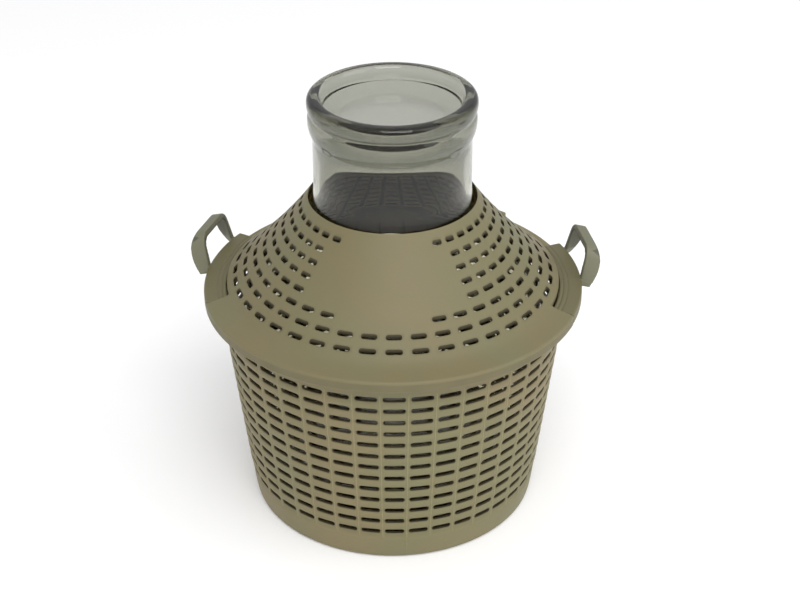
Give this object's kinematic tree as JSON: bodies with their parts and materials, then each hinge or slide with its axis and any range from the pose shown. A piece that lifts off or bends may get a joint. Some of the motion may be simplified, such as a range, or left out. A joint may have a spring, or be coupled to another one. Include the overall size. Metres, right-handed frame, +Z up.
{
  "type": "demijohn",
  "caption": "Wide-mouthed glass demijohn in a slotted plastic basket, with a slotted bell-shaped cover and side handles.",
  "frame": {"origin": "on the ground, under the middle of the basket's floor", "axes": "+Z up along the flask's axis, -Y towards the cover's plain panel, +X towards the right handle seen from the front"},
  "size_m": [0.2668, 0.244, 0.283],
  "materials": {
    "basket_plastic": "moulded olive-tan polyethylene, slightly satin",
    "cover_plastic": "moulded olive-tan polyethylene, slightly satin",
    "handle_plastic": "moulded grey-green polyethylene, slightly satin",
    "glass": "clear smoky grey-green blown glass"
  },
  "bodies": {
    "base": {"basket": "basket_plastic", "handle_left": "handle_plastic", "handle_right": "handle_plastic"},
    "flask": {"flask": "glass"},
    "cover": {"cover": "cover_plastic"}
  },
  "joints": [
    {"name": "flask_lift", "type": "slide", "parent": "base", "child": "flask", "axis": [0, 0, 1], "range_m": [0, 0.3]},
    {"name": "cover_lift", "type": "slide", "parent": "flask", "child": "cover", "axis": [0, 0, 1], "range_m": [0, 0.2]}
  ]
}
